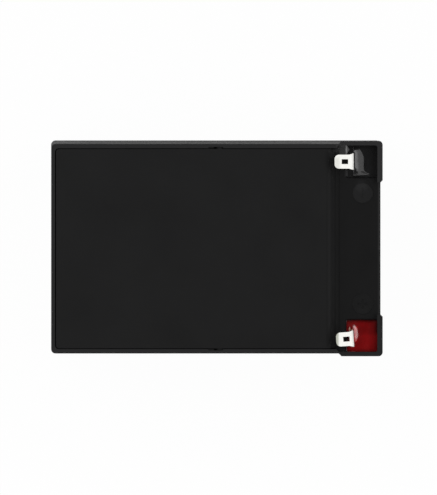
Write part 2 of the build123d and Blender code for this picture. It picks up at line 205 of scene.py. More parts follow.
class BatteryPlastic(bpy.types.PropertyGroup):
    """Finish of the moulded case."""

    colour: tint("Plastic Colour", "Colour of the black plastic", (0.0085, 0.0085, 0.0087))
    # The worn colour also paints a sheen along the edges, and is the colour of lint.
    worn: tint("Worn Colour", "Colour where edges are rubbed", (0.028, 0.028, 0.029))
    roughness: share("Roughness", "Roughness of the matt mould finish", 0.52)
    cloud_gain: share("Cloudiness", "How far the roughness wanders over a wall", 0.08)
    grain: length("Grain Size", "Width of a grain of the mould finish", 0.32 * MM)
    grain_depth: length("Grain Depth", "Depth of the mould finish", 0.012 * MM)
    cloud: length("Cloud Size", "Width of a cloud in the finish", 26.0 * MM)
    wear_reach: length("Wear Reach", "How far from an edge it is rubbed", 0.35 * MM)
    # This also paints a sheen along the edges.
    wear_and_sheen: share("Wear", "How much the edges are rubbed", 0.35)
    disc_gain: share("Disc Tone", "How much paler the polarity discs are", 0.62)
    sink_width: length("Sink Width", "Width of a sink mark over a partition", 2.2 * MM)
    sink_depth: length("Sink Depth", "Depth of a sink mark over a partition", 0.05 * MM)


class BatteryResin(bpy.types.PropertyGroup):
    """Form and finish of the resin cast in the wells."""

    red: tint("Red Resin", "Colour of the resin at the positive terminal", (0.185, 0.0020, 0.0027))
    black: tint("Black Resin", "Colour of the resin at the negative terminal", (0.0125, 0.0125, 0.0127))
    residue: tint("Residue", "Colour of the thin film that ran over the well's edge", (0.030, 0.030, 0.030))
    roughness: share("Roughness", "Roughness of the cast surface", 0.13)
    wall_rise: length("Wall Rise", "How far the resin climbs the walls of its well", 0.08 * MM)
    wall_reach: length("Wall Reach", "How far from the wall the climb begins", 0.5 * MM)
    black_reach: length("Black Mound Reach", "Reach of the black slope in front of the leg", 4.8 * MM)
    red_reach: length("Red Mound Reach", "Reach of the red slope in front of the leg", 2.25 * MM)
    fine_step: length("Fine Step", "Spacing of the mesh where the surface bends", 0.14 * MM)
    coarse_step: length("Coarse Step", "Spacing of the mesh elsewhere", 0.4 * MM)


class BatteryTerminals(bpy.types.PropertyGroup):
    """Finish of the tabs and their solder."""

    tin: tint("Tin", "Colour of the tin coat", (1.0, 0.995, 0.955))
    # This colour also paints the shade on the bevelled ends of the tabs.
    tarnish_and_tip_shade: tint("Tarnish", "Colour of the dull patches", (0.42, 0.43, 0.36))
    brass: tint("Brass", "Colour of the bare cut edges", (0.78, 0.62, 0.34))
    solder: tint("Solder", "Colour of the solder", (0.62, 0.63, 0.64))
    stained: tint("Stained Solder", "Colour of a crumb of solder that flux has stained", (0.34, 0.17, 0.13))
    roughness: share("Roughness", "Roughness of the matt tin", 0.70)
    metallic: share("Metallic", "How metallic the tin under its oxide is", 0.08)
    scratch: length("Scratch Width", "Spacing of the rubbing marks", 0.25 * MM)
    patch: length("Patch Size", "Width of a dull patch", 2.4 * MM)


class BatteryInside(bpy.types.PropertyGroup):
    """Finish of the sealed inner parts."""

    positive_paste: tint("Positive Paste", "Colour of the brown paste", (0.16, 0.10, 0.07))
    negative_paste: tint("Negative Paste", "Colour of the grey paste", (0.30, 0.31, 0.33))
    felt: tint("Glass Felt", "Colour of the glass fibre mats", (0.86, 0.86, 0.83))
    lead: tint("Lead", "Colour of cast lead", (0.42, 0.43, 0.45))
    dull_lead: tint("Dull Lead", "Colour of the dull patches on lead", (0.25, 0.26, 0.28))
    bond: tint("Bond Resin", "Colour of the resin in the seam", (0.010, 0.010, 0.010))
    rubber: tint("Rubber", "Colour of caps and seal rings", (0.04, 0.04, 0.04))
    crust: length("Crust Size", "Width of a crumb of paste", 0.9 * MM)
    fibre: length("Fibre Size", "Spacing of the fibres in the felt", 0.35 * MM)


class BatteryStudio(bpy.types.PropertyGroup):
    """Camera, floor and light."""

    aim: point("Aim", "Point that the camera looks at", mm(0.73, 0.55, RIM))
    tilt: turn("Tilt", "Lean of the camera towards the side of the negative terminal", math.radians(0.96))
    distance: length("Distance", "From the camera to the top of the case", 1.2)
    view_height: length("View Height", "Height of the picture at the case", 225.44 * MM)
    floor_size: length("Floor Size", "Side of the pale floor", 6.0)
    floor_glow: share("Floor Glow", "Part of the floor's white that is free of shadow", 0.97)
    floor_mirror: share("Mirrored Floor Glow", "The same part, as metal and gloss show it", 0.15)
    sky: amount("Sky", "Strength of the plain light from all round", 0.41)
    overhead: share("Overhead", "Strength of what a shiny face sees straight above", 0.008)
    key_power: amount("Key Power", "Power of the main softbox in watts", 9.4)
    key_lean: turn("Key Lean", "Angle of the main softbox from straight above", math.radians(36.0))
    key_turn: turn("Key Turn", "Direction of the main softbox around the case", math.radians(168.0))
    panel_glow: amount("Panel Glow", "Radiance of the side panel", 1.75)
    panel_lean: turn("Panel Lean", "Angle of the side panel from straight above", math.radians(32.0))
    panel_turn: turn("Panel Turn", "Direction of the side panel around the case", math.radians(8.0))
    strip_glow: amount("Strip Glow", "Radiance of the narrow strip beyond the side panel", 4.2)
    strip_lean: turn("Strip Lean", "Angle of the narrow strip from straight above", math.radians(42.7))


class BatterySettings(bpy.types.PropertyGroup):
    """All that a user may change."""

    plastic: PointerProperty(type=BatteryPlastic)
    resin: PointerProperty(type=BatteryResin)
    terminals: PointerProperty(type=BatteryTerminals)
    inside: PointerProperty(type=BatteryInside)
    studio: PointerProperty(type=BatteryStudio)


# Shader helpers

def link_or_set(tree, value, socket):
    """Feeds a socket from another one, or gives it a plain value."""
    if isinstance(value, bpy.types.NodeSocket):
        tree.links.new(value, socket)
    else:
        socket.default_value = value


def add_node(tree, kind, inputs=None, **settings):
    """A shader node with its settings, its values and what feeds it."""
    made = tree.nodes.new(f"ShaderNode{kind}")
    for name, value in settings.items():
        setattr(made, name, value)
    for name, value in (inputs or {}).items():
        link_or_set(tree, value, made.inputs[name])
    return made


def maths(tree, operation, *values, clamp=False):
    """The result of a Math node."""
    node = add_node(tree, "Math", dict(enumerate(values)), operation=operation, use_clamp=clamp)
    return node.outputs[0]


def add_share(tree, base, mask, gain, clamp=False):
    """A value with a mask added to it at some strength."""
    return maths(tree, "MULTIPLY_ADD", mask, gain, base, clamp=clamp)


def vector_maths(tree, operation, *values, out=0):
    """The result of a Vector Math node."""
    return add_node(tree, "VectorMath", dict(enumerate(values)), operation=operation).outputs[out]


def scaled(tree, colour, tone):
    """A colour made paler or darker by a tone."""
    inputs = {0: tuple(colour), "Scale": tone}
    return add_node(tree, "VectorMath", inputs, operation="SCALE").outputs[0]


def blend_colours(tree, factor, first, second):
    """One colour over another, by a factor."""
    node = add_node(tree, "Mix", data_type="RGBA")
    sockets = {item.identifier: item for item in node.inputs}
    link_or_set(tree, factor, sockets["Factor_Float"])
    link_or_set(tree, first, sockets["A_Color"])
    link_or_set(tree, second, sockets["B_Color"])
    return next(item for item in node.outputs if item.identifier == "Result_Color")


def spread(tree, value, low, high, new_low=0.0, new_high=1.0, smooth=False):
    """A value moved from one range to another."""
    kind = "SMOOTHSTEP" if smooth else "LINEAR"
    inputs = {"Value": value, "From Min": low, "From Max": high, "To Min": new_low, "To Max": new_high}
    return add_node(tree, "MapRange", inputs, interpolation_type=kind, clamp=True).outputs["Result"]


def inside(tree, past, softness):
    """Mask of what lies within a border, from the distance past it."""
    return spread(tree, maths(tree, "DIVIDE", past, softness), -1.0, 0.0, 1.0, 0.0, smooth=True)


def noise(tree, vector, size, detail, rough):
    """Soft noise with spots of a size in metres."""
    scale = maths(tree, "DIVIDE", 1.0, size)
    inputs = {"Vector": vector, "Scale": scale, "Detail": detail, "Roughness": rough}
    return add_node(tree, "TexNoise", inputs).outputs["Fac"]


def set_out_nodes(tree):
    """Places the nodes in columns, each to the left of what it feeds."""
    depth = {node: 0 for node in tree.nodes}
    for _ in range(len(tree.nodes)):
        for link in tree.links:
            depth[link.from_node] = max(depth[link.from_node], depth[link.to_node] + 1)
    rows = {}
    for node, column in depth.items():
        row = rows.get(column, 0)
        node.location = (-column * 220.0, -row * 260.0)
        rows[column] = row + 1


def spoken(label):
    """A socket's name, from the word that the script uses for it."""
    return label.replace("_", " ").title()


def node_group(name, outputs, **inputs):
    """Turns a function that fills a tree into one that gives the node group, built once."""

    def wrap(fill):
        def find():
            tree = bpy.data.node_groups.get(name)
            if tree:
                return tree
            tree = bpy.data.node_groups.new(name, "ShaderNodeTree")
            for label, value in inputs.items():
                kind = "NodeSocketFloat" if isinstance(value, float) else "NodeSocketVector"
                socket = tree.interface.new_socket(spoken(label), in_out="INPUT", socket_type=kind)
                socket.default_value = value
            for label in outputs:
                kind = "NodeSocketVector" if label == "Normal" else "NodeSocketFloat"
                tree.interface.new_socket(label, in_out="OUTPUT", socket_type=kind)
            given = tree.nodes.new("NodeGroupInput").outputs
            end = tree.nodes.new("NodeGroupOutput").inputs
            for label, value in fill(tree, given).items():
                tree.links.new(value, end[label])
            set_out_nodes(tree)
            return tree
        return find
    return wrap


def use_group(tree, group, **values):
    """A group placed in a material, with its own values."""
    inputs = {spoken(label): value for label, value in values.items()}
    return add_node(tree, "Group", inputs, node_tree=group()).outputs


def row_place(tree):
    """The place of a point in the model's frame."""
    return add_node(tree, "TexCoord").outputs["Object"]


def facing(tree):
    """The way that the surface faces."""
    return add_node(tree, "NewGeometry").outputs["Normal"]


def split(tree, vector):
    """The three parts of a vector."""
    return add_node(tree, "SeparateXYZ", {"Vector": vector}).outputs


def open_nodes(owner):
    """The empty node tree of a material or a world."""
    owner.use_nodes = True
    owner.node_tree.nodes.clear()
    return owner.node_tree


# Node groups

@node_group("Mould Grain", ("Height", "Cloud"), grain_size=0.3 * MM, cloud_size=30.0 * MM)
def mould_grain(tree, given):
    """Fine grain of a mould, with wide clouds where it wore."""
    place = row_place(tree)
    wide = noise(tree, place, given["Cloud Size"], detail=3.0, rough=0.55)
    return {"Height": noise(tree, place, given["Grain Size"], detail=2.0, rough=0.6),
            "Cloud": spread(tree, wide, 0.3, 0.7)}


@node_group("Edge Wear", ("Mask", "Normal"), reach=0.3 * MM, patch_size=6.0 * MM)
def edge_wear(tree, given):
    """Mask of the rubbed edges of a piece, and a normal that rounds them."""
    rounded = add_node(tree, "Bevel", {"Radius": given["Reach"]}, samples=4).outputs["Normal"]
    same = vector_maths(tree, "DOT_PRODUCT", rounded, facing(tree), out="Value")
    edge = spread(tree, maths(tree, "SUBTRACT", 1.0, same), 0.01, 0.22, smooth=True)
    patches = noise(tree, row_place(tree), given["Patch Size"], detail=4.0, rough=0.65)
    patches = spread(tree, patches, 0.35, 0.65, 0.35, 1.0)
    return {"Mask": maths(tree, "MULTIPLY", edge, patches), "Normal": rounded}


@node_group("Zone Mask", ("Mask",), middle=(0.0, 0.0, 0.0), half_size=(0.01, 0.01, 0.01), softness=1.0 * MM)
def zone_mask(tree, given):
    """Mask of a box in the model's frame, with soft sides."""
    off = vector_maths(tree, "SUBTRACT", row_place(tree), given["Middle"])
    off = vector_maths(tree, "ABSOLUTE", off)
    past = split(tree, vector_maths(tree, "SUBTRACT", off, given["Half Size"]))
    furthest = maths(tree, "MAXIMUM", maths(tree, "MAXIMUM", past["X"], past["Y"]), past["Z"])
    return {"Mask": inside(tree, furthest, given["Softness"])}


@node_group("Disc Mask", ("Mask",), place=(0.0, 0.0, 0.0), radius=4.0 * MM, softness=1.0 * MM)
def disc_mask(tree, given):
    """Mask of a round mark in the lid."""
    off = vector_maths(tree, "SUBTRACT", row_place(tree), given["Place"])
    flat = vector_maths(tree, "MULTIPLY", off, (1.0, 1.0, 0.0))
    past = maths(tree, "SUBTRACT", vector_maths(tree, "LENGTH", flat, out="Value"), given["Radius"])
    return {"Mask": inside(tree, past, given["Softness"])}


@node_group("Handling Marks", ("Smear", "Lint"), smear_size=18.0 * MM, lint_size=1.2 * MM)
def handling_marks(tree, given):
    """Faint smears, and lint on the faces that look up."""
    place = row_place(tree)
    slanted = {"Vector": place, "Rotation": (0.0, 0.0, 0.5), "Scale": (1.0, 0.35, 1.0)}
    stretched = add_node(tree, "Mapping", slanted).outputs["Vector"]
    smear = noise(tree, stretched, given["Smear Size"], detail=5.0, rough=0.6)
    specks = noise(tree, place, given["Lint Size"], detail=3.0, rough=0.7)
    lying = spread(tree, split(tree, facing(tree))["Z"], 0.5, 0.95)
    return {"Smear": spread(tree, smear, 0.42, 0.72),
            "Lint": maths(tree, "MULTIPLY", lying, spread(tree, specks, 0.66, 0.8))}


@node_group("Metal Haze", ("Patch", "Scratch", "Height"),
            patch_size=3.0 * MM, scratch_size=0.3 * MM, stretch=6.0)
def metal_haze(tree, given):
    """Dull patches and rubbing marks."""
    place = row_place(tree)
    patch = noise(tree, place, given["Patch Size"], detail=4.0, rough=0.6)
    shares = {"X": maths(tree, "DIVIDE", 1.0, given["Stretch"]), "Y": 1.0, "Z": 1.0}
    squeeze = add_node(tree, "CombineXYZ", shares).outputs["Vector"]
    run = vector_maths(tree, "MULTIPLY", place, squeeze)
    scratch = noise(tree, run, given["Scratch Size"], detail=3.0, rough=0.7)
    height = maths(tree, "ADD", maths(tree, "MULTIPLY", scratch, 0.4), maths(tree, "MULTIPLY", patch, 0.6))
    return {"Patch": spread(tree, patch, 0.38, 0.68),
            "Scratch": spread(tree, scratch, 0.3, 0.7), "Height": height}


@node_group("Crumbs", ("Height", "Tone"), size=1.0 * MM, stretch=(1.0, 1.0, 1.0))
def crumbs(tree, given):
    """Crumbs and pits of a dry or fibrous stuff."""
    place = vector_maths(tree, "DIVIDE", row_place(tree), given["Stretch"])
    cells = {"Vector": place, "Scale": maths(tree, "DIVIDE", 1.0, given["Size"]), "Randomness": 1.0}
    cell = add_node(tree, "TexVoronoi", cells, feature="F1").outputs["Distance"]
    fine = noise(tree, place, given["Size"], detail=4.0, rough=0.65)
    return {"Height": maths(tree, "ADD", maths(tree, "MULTIPLY", cell, -0.5), fine),
            "Tone": spread(tree, fine, 0.3, 0.7)}


# Materials

def new_material(name, specular, ior=1.5):
    """A material with one Principled shader, and the constants that stay on its own sockets."""
    material = bpy.data.materials.new(name)
    tree = open_nodes(material)
    shader = add_node(tree, "BsdfPrincipled", {"IOR": ior, "Specular IOR Level": specular})
    add_node(tree, "OutputMaterial", {"Surface": shader.outputs["BSDF"]})
    return material, tree, shader


def finish_material(material, shader, **values):
    """Feeds the shader's sockets, sets the nodes out and hands the material back."""
    tree = material.node_tree
    for label, value in values.items():
        link_or_set(tree, value, shader.inputs[spoken(label)])
    set_out_nodes(tree)
    return material


def bump(tree, height, depth, normal=None):
    """A normal that follows a height."""
    inputs = {"Height": height, "Distance": depth}
    if normal:
        inputs["Normal"] = normal
    return add_node(tree, "Bump", inputs).outputs["Normal"]


def zone(middle, half, gain, softness=0.6):
    """A box whose tone differs, in most uses painted light or shade: its middle, half size and softness in
    millimetres, and its strength.
    """
    return zone_mask, gain, {"middle": mm(*middle), "half_size": mm(*half), "softness": softness * MM}


def disc(x, y, radius, gain, softness):
    """A round mark whose finish differs, in metres."""
    return disc_mask, gain, {"place": (x, y, 0.0), "radius": radius, "softness": softness}


def add_zones(tree, tone, zones, clamp=False):
    """A tone changed in each zone or disc."""
    for group, gain, values in zones:
        tone = add_share(tree, tone, use_group(tree, group, **values)["Mask"], gain, clamp=clamp)
    return tone


def dark_plastic(name, plastic, zones=(), sinks=False, wear_and_sheen=1.0):
    """Black moulded plastic: mould grain, clouds, worn edges partly painted as sheen, and the tone of each
    zone, most of which paint light or shade.
    """
    material, tree, shader = new_material(name, specular=0.12)
    grain = use_group(tree, mould_grain, grain_size=plastic.grain, cloud_size=plastic.cloud)
    edge = use_group(tree, edge_wear, reach=plastic.wear_reach, patch_size=wear_patch_share * plastic.cloud)
    marks = use_group(tree, handling_marks, smear_size=smear_share * plastic.cloud)
    tone = add_zones(tree, spread(tree, grain["Cloud"], 0.0, 1.0, *cloud_tones), zones)
    worn = (*plastic.worn, 1.0)
    # Worn edges: real rubbing, partly a painted sheen along the edges.
    rubbed = maths(tree, "MULTIPLY", edge["Mask"], wear_and_sheen * plastic.wear_and_sheen)
    colour = blend_colours(tree, rubbed, scaled(tree, plastic.colour, tone), worn)
    colour = blend_colours(tree, maths(tree, "MULTIPLY", marks["Lint"], lint_share), colour, worn)
    rough = add_share(tree, plastic.roughness, grain["Cloud"], plastic.cloud_gain)
    rough = add_share(tree, rough, marks["Smear"], smear_gloss)
    rough = add_share(tree, rough, edge["Mask"], rub_gloss)
    height = maths(tree, "MULTIPLY", grain["Height"], plastic.grain_depth)
    if sinks:
        height = maths(tree, "SUBTRACT", height, sink_marks(tree, plastic))
    return finish_material(material, shader, base_color=colour, roughness=rough,
                           normal=bump(tree, height, 1.0, edge["Normal"]))


def sink_marks(tree, plastic):
    """Depth of the faint hollows where partitions meet the outer walls."""
    parts = split(tree, row_place(tree))
    deepest = 0.0
    for axis, middle in partitions:
        off = maths(tree, "ABSOLUTE", maths(tree, "SUBTRACT", parts[axis], middle))
        hollow = spread(tree, off, 0.0, plastic.sink_width, 1.0, 0.0, smooth=True)
        deepest = maths(tree, "MAXIMUM", deepest, hollow)
    return maths(tree, "MULTIPLY", deepest, plastic.sink_depth)


def cast_resin(name, colour, roughness, specular=0.5, zones=(), base=1.0):
    """Glossy cast resin with slow waves, faint patches, smears and the tone of each zone, most of which paint
    light or shade.
    """
    material, tree, shader = new_material(name, specular=specular, ior=1.52)
    marks = use_group(tree, handling_marks, smear_size=6.0 * MM, lint_size=0.7 * MM)
    haze = use_group(tree, metal_haze, patch_size=5.0 * MM, scratch_size=1.2 * MM, stretch=1.5)
    tones = [base + change for change in resin_tones]
    tone = add_zones(tree, spread(tree, haze["Patch"], 0.0, 1.0, *tones), zones)
    height = noise(tree, row_place(tree), resin_wave, detail=2.0, rough=0.5)
    return finish_material(material, shader, base_color=scaled(tree, colour, tone),
                           roughness=add_share(tree, roughness, marks["Smear"], resin_smear),
                           normal=bump(tree, height, resin_wave_depth))


def soft_metal(name, colour, dull, roughness, patch, scratch, depth=0.004 * MM, stretch=6.0,
               edge_colour=None, metallic=1.0, dullness=0.45, zones=()):
    """Tin, solder or lead: dull patches, rubbing marks and, on a stamping, bare edges."""
    material, tree, shader = new_material(name, specular=0.5)
    haze = use_group(tree, metal_haze, patch_size=patch, scratch_size=scratch, stretch=stretch)
    # Dull patches, with the painted shade of any zone added.
    dulled_and_shaded = add_zones(tree, maths(tree, "MULTIPLY", haze["Patch"], dullness), zones, clamp=True)
    surface = blend_colours(tree, dulled_and_shaded, (*colour, 1.0), (*dull, 1.0))
    rough = add_share(tree, roughness - scratch_dulling / 2, haze["Scratch"], scratch_dulling)
    rough = add_share(tree, rough, haze["Patch"], patch_dulling)
    normal = None
    if edge_colour:
        edge = use_group(tree, edge_wear, reach=0.12 * MM, patch_size=1.5 * MM)
        bare = maths(tree, "MULTIPLY", edge["Mask"], bare_edge_share)
        surface = blend_colours(tree, bare, surface, (*edge_colour, 1.0))
        normal = edge["Normal"]
    return finish_material(material, shader, base_color=surface, roughness=rough, metallic=metallic,
                           normal=bump(tree, haze["Height"], depth, normal))


def crumbly(name, colour, size, roughness, depth, stretch=(1.0, 1.0, 1.0), darkest=0.65, sheen=0.0):
    """Paste, felt or rubber: a rough surface of crumbs or fibres."""
    material, tree, shader = new_material(name, specular=0.3)
    grit = use_group(tree, crumbs, size=size, stretch=stretch)
    tone = spread(tree, grit["Tone"], 0.0, 1.0, darkest, palest_crumb)
    return finish_material(material, shader, base_color=scaled(tree, colour, tone),
                           roughness=add_share(tree, roughness, grit["Tone"], crumb_dulling),
                           sheen_weight=sheen, normal=bump(tree, grit["Height"], depth))


def dress(node, material):
    """Gives a CAD node its finish."""
    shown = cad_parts[node]
    if not shown.material_slots:
        shown.data.materials.append(material)
    for place in shown.material_slots:
        place.material = material


# Mesh helpers

def set_down(name, shape, material):
    """Turns a bmesh into an object of the scene."""
    mesh = bpy.data.meshes.new(name)
    shape.to_mesh(mesh)
    shape.free()
    mesh.materials.append(material)
    made = bpy.data.objects.new(name, mesh)
    bpy.context.scene.collection.objects.link(made)
    return made


def finish_piece(name, shape, material):
    """Makes a smooth piece that rides on the body and takes its finish from a slot."""
    bmesh.ops.recalc_face_normals(shape, faces=shape.faces)
    piece = set_down(name, shape, material)
    piece.data.shade_smooth()
    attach(piece, BODY)
    return piece


def cover_grid(shape, rows):
    """Faces between the points of a grid."""
    for left, right in zip(rows, rows[1:]):
        for index in range(len(left) - 1):
            shape.faces.new((left[index], right[index], right[index + 1], left[index + 1]))


def border_of(rows):
    """The points around a grid, in order."""
    far = [row[-1] for row in rows[:-1]]
    back = [row[0] for row in rows[:0:-1]]
    return rows[0][:-1] + far + rows[-1][:0:-1] + back


def join_rings(shape, first, second):
    """Faces between two rings of as many points."""
    for index in range(len(first)):
        after = (index + 1) % len(first)
        shape.faces.new((first[index], first[after], second[after], second[index]))


def stepped_lines(low, high, bends, resin):
    """Grid lines between two walls, closer together near the places where the surface bends."""
    lines = [low]
    while True:
        here = lines[-1]
        near = any(abs(here - place) < reach for place, reach in bends)
        here += resin.fine_step if near else resin.coarse_step
        if here > high - least_gap * resin.fine_step:
            break
        lines.append(here)
    return lines + [high]


def round_corner(x, y, half, radius):
    """Moves a point of a plain grid so that its rectangle gets round corners."""
    along_x = (abs(x) - (half[0] - radius)) / radius
    along_y = (abs(y) - (half[1] - radius)) / radius
    if along_x <= 0.0 or along_y <= 0.0:
        return x, y
    new_x = half[0] - radius + radius * along_x * math.sqrt(1.0 - along_y * along_y / 2.0)
    new_y = half[1] - radius + radius * along_y * math.sqrt(1.0 - along_x * along_x / 2.0)
    return math.copysign(new_x, x), math.copysign(new_y, y)


def wall_distance(x, y, half, radius):
    """How far a point in the well is from its wall."""
    away_x = max(abs(x) - (half[0] - radius), 0.0)
    away_y = max(abs(y) - (half[1] - radius), 0.0)
    if away_x > 0.0 and away_y > 0.0:
        return max(radius - math.hypot(away_x, away_y), 0.0)
    return max(min(half[0] - abs(x), half[1] - abs(y)), 0.0)


def waves(x, y, seed):
    """Slow smooth unevenness between -1 and 1, with crests 3 to 8 mm apart."""
    return (math.sin(x * 900.0 + seed) * math.cos(y * 760.0 + 2.1 * seed)
            + 0.5 * math.sin(x * 1900.0 - y * 1500.0 + 0.7 * seed)) / 1.5


class Mound:
    """The slope of resin drawn up around a tab's leg: straight in front, with a rounded foot."""

    def __init__(self, leg_y, yaw, slopes, bend, front, middle, plus, minus, behind, starts):
        self.leg = Vector((leg_face - leg_half[0], leg_y))
        self.back = Matrix.Rotation(-yaw, 2)
        # Slopes at the foot and at the leg, and where one turns into the other
        self.slopes = slopes
        self.bend = bend
        # Reach in front, the middle of the foot's curve, and reach and power of the curve to either side
        self.front = front
        self.middle = middle
        self.plus = plus
        self.minus = minus
        # Share of the height behind the leg, and where that begins to either side
        self.behind = behind
        self.starts = starts

    def rise(self, left):
        """Height of the slope at a distance in from its foot."""
        run = 0.5 * (left + math.hypot(left, toe_round) - toe_round)
        outer, inner = self.slopes
        past = run - self.bend
        before = math.hypot(self.bend, bend_round) - self.bend
        return outer * run + 0.5 * (inner - outer) * (past + math.hypot(past, bend_round) - before)

    def height(self, x, y):
        """Height over the flat resin at a point of the model's frame."""
        place = self.back @ (Vector((x, y)) - self.leg)
        aside = place.y - self.middle
        reach, power = self.plus if aside > 0.0 else self.minus
        part = abs(aside) / reach
        if part >= 1.0:
            return 0.0
        foot = self.front * (1.0 - part ** power) ** (1.0 / power)
        ahead = place.x - leg_half[0]
        beside = max(abs(place.y) - leg_half[1], 0.0)
        cling = cling_slope * max(cling_reach - abs(ahead) - beside, 0.0)
        start = 0.0 if beside == 0.0 else self.starts[0] if aside > 0.0 else self.starts[1]
        if ahead > start:
            return self.rise(foot - ahead) + cling
        return self.rise(foot) * self.behind + cling


def tail_height(x, y):
    """The low ridge of black resin that creeps from its mound along the inner wall of the well."""
    aside = y - tail_y - tail_turn * (x - leg_face)
    if x < leg_face or aside < -tail_side:
        return 0.0
    flare = tail_flare + tail_pinch * max(x - tail_pinch_x, 0.0)
    run = tail_slope * max(tail_end - x - flare * max(aside, 0.0), 0.0)
    return run * (1.0 - (min(aside, 0.0) / tail_side) ** 4)


def make_resin_fill(colour, side, mound, material, node, resin, seed):
    """The resin in a well: a set surface that climbs the walls and the leg, over the well and its cup."""
    middle = ((well_x[0] + well_x[1]) / 2, side * (well_y[0] + well_y[1]) / 2)
    half = ((well_x[1] - well_x[0]) / 2, (well_y[1] - well_y[0]) / 2)
    leg_x = mound.leg.x - middle[0]
    walls = [[(-limit, fine_at_wall * resin.wall_reach), (limit, fine_at_wall * resin.wall_reach)]
             for limit in half]
    toe_x = leg_x + mound.front + leg_half[0]
    at_leg = [(leg_x, fine_at_leg * cling_reach), (toe_x, fine_at_leg * toe_round)]
    lines_x = stepped_lines(-half[0], half[0], walls[0] + at_leg, resin)
    lines_y = stepped_lines(-half[1], half[1], walls[1], resin)

    shape = bmesh.new()
    rows = []
    for flat_x in lines_x:
        row = []
        for flat_y in lines_y:
            x, y = round_corner(flat_x, flat_y, half, well_corner)
            place = (middle[0] + x, middle[1] + y)
            gap = wall_distance(x, y, half, well_corner)
            uneven = 1.0 + wall_sway * waves(x, y, seed)
            wetting = resin.wall_rise * (1.0 - max(x / half[0], 0.0) ** 2) * uneven
            climb = wetting * math.exp(-wall_fall * gap / resin.wall_reach)
            swell = max(mound.height(*place), tail_height(*place))
            if side > 0:
                swell = min(swell, lip_height + max(half[0] + x, 0.0))
                if math.dist(place, dent_place) < dent_reach:
                    swell = min(swell, dent_level)
            ripple = ripple_depth * waves(ripple_stretch * x, ripple_stretch * y, seed + 3.0)
            z = resin_level + max(climb, swell) + lesser_share * min(climb, swell) + ripple
            row.append(shape.verts.new((*place, z)))
        rows.append(row)
    cover_grid(shape, rows)
    border = border_of(rows)
    base = [shape.verts.new((vert.co.x, vert.co.y, deck_height)) for vert in border]
    join_rings(shape, border, base)
    add_cup(shape, base, side)
    piece = finish_piece(f"{colour}_resin_fill", shape, material)
    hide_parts(node)
    return piece


def add_cup(shape, base, side):
    """Closes the resin below the well with the round plug that fills the post's cup."""
    rings = []
    for z in (deck_height, cup_floor):
        ring = []
        for index in range(cup_steps):
            angle = 2.0 * math.pi * index / cup_steps
            ring.append(shape.verts.new((post_place[0] + cup_radius * math.cos(angle),
                                         side * post_place[1] + cup_radius * math.sin(angle), z)))
        rings.append(ring)
    join_rings(shape, *rings)
    shape.faces.new(rings[1])
    shape.verts.index_update()
    loops = []
    for ring in (base, rings[0]):
        for pair in zip(ring, ring[1:] + ring[:1]):
            loops.append(shape.edges.get(pair))
    bmesh.ops.bridge_loops(shape, edges=loops)


def film_height(x, y):
    """Top of the film of black resin that ran over the lip of its well onto the strip."""
    left = film_x[0] + film_sway * (1.0 + waves(0.0, 1.6 * y, film_seed))
    start = min(max((x - left) / film_edge, 0.0), 1.0)
    creep = film_creep * math.exp((y - film_y[1]) / film_creep)
    top = strip_height + (film_depth + creep) * start * (2.0 - start) - (film_depth if x <= left else 0.0)
    if x <= lip_x:
        return top
    gentle = min(x - lip_x, lip_round)
    steep = max(x - lip_x - lip_round, 0.0)
    beside = max(abs(y - tongue_y) - tongue_flare * (tongue_end - x), 0.0)
    return top - film_slopes[0] * gentle - film_slopes[1] * steep - tongue_side_slope * beside


def make_overflow(material):
    """The film over the lip, closed below by a floor inside the lid and the resin."""
    shape = bmesh.new()
    count_x, count_y = [int((high - low) / film_step) for low, high in (film_x, film_y)]
    tops = [[] for _ in range(count_x + 1)]
    floors = [[] for _ in tops]
    for i, (top_row, floor_row) in enumerate(zip(tops, floors)):
        x = film_x[0] + (film_x[1] - film_x[0]) * i / count_x
        floor = strip_height - 4.0 * film_depth if x < lip_x else resin_level - 2.0 * film_depth
        for j in range(count_y + 1):
            y = film_y[0] + (film_y[1] - film_y[0]) * j / count_y
            sway = 0.5 * film_step * waves(0.7 * x, 0.7 * y, film_seed)
            top_row.append(shape.verts.new((x + sway, y, max(film_height(x, y), floor + film_least))))
            floor_row.append(shape.verts.new((x + sway, y, floor)))
    cover_grid(shape, tops)
    cover_grid(shape, floors)
    join_rings(shape, border_of(tops), border_of(floors))
    return finish_piece("black_resin_overflow", shape, material)


def make_bead(material):
    """Crumbs of solder beside the leg of the positive tab."""
    shape = bmesh.new()
    for place, size in bead_places:
        ball = bmesh.ops.create_icosphere(shape, subdivisions=3, radius=1.0)
        for vert in ball["verts"]:
            dent = 1.0 + bead_unevenness * waves(0.002 * vert.co.x, 0.002 * vert.co.y, 5.0 + vert.co.z)
            vert.co = Vector([part * half * dent for part, half in zip(vert.co, size)]) + Vector(place)
    return finish_piece("positive_solder_bead", shape, material)


def case_outline(inset, step):
    """Points around the walls of the case, with the way out at each."""
    radius = case_corner - inset
    low = Vector((case_low.x + inset, case_low.y + inset))
    high = Vector((case_high.x - inset, case_high.y - inset))
    corners = [((high.x - radius, high.y - radius), 0.0), ((low.x + radius, high.y - radius), 90.0),
               ((low.x + radius, low.y + radius), 180.0), ((high.x - radius, low.y + radius), 270.0)]
    places = []
    for index, (centre, start) in enumerate(corners):
        for part in range(corner_points):
            angle = math.radians(start + corner_turn * part)
            way = Vector((math.cos(angle), math.sin(angle)))
            places.append((Vector(centre) + radius * way, way))
        after, way = corners[(index + 1) % 4][0], places[-1][1]
        goal = Vector(after) + radius * way
        begin = places[-1][0]
        count = max(2, int((goal - begin).length / step))
        for part in range(1, count):
            places.append((begin.lerp(goal, part / count), way))
    return places


# Stage

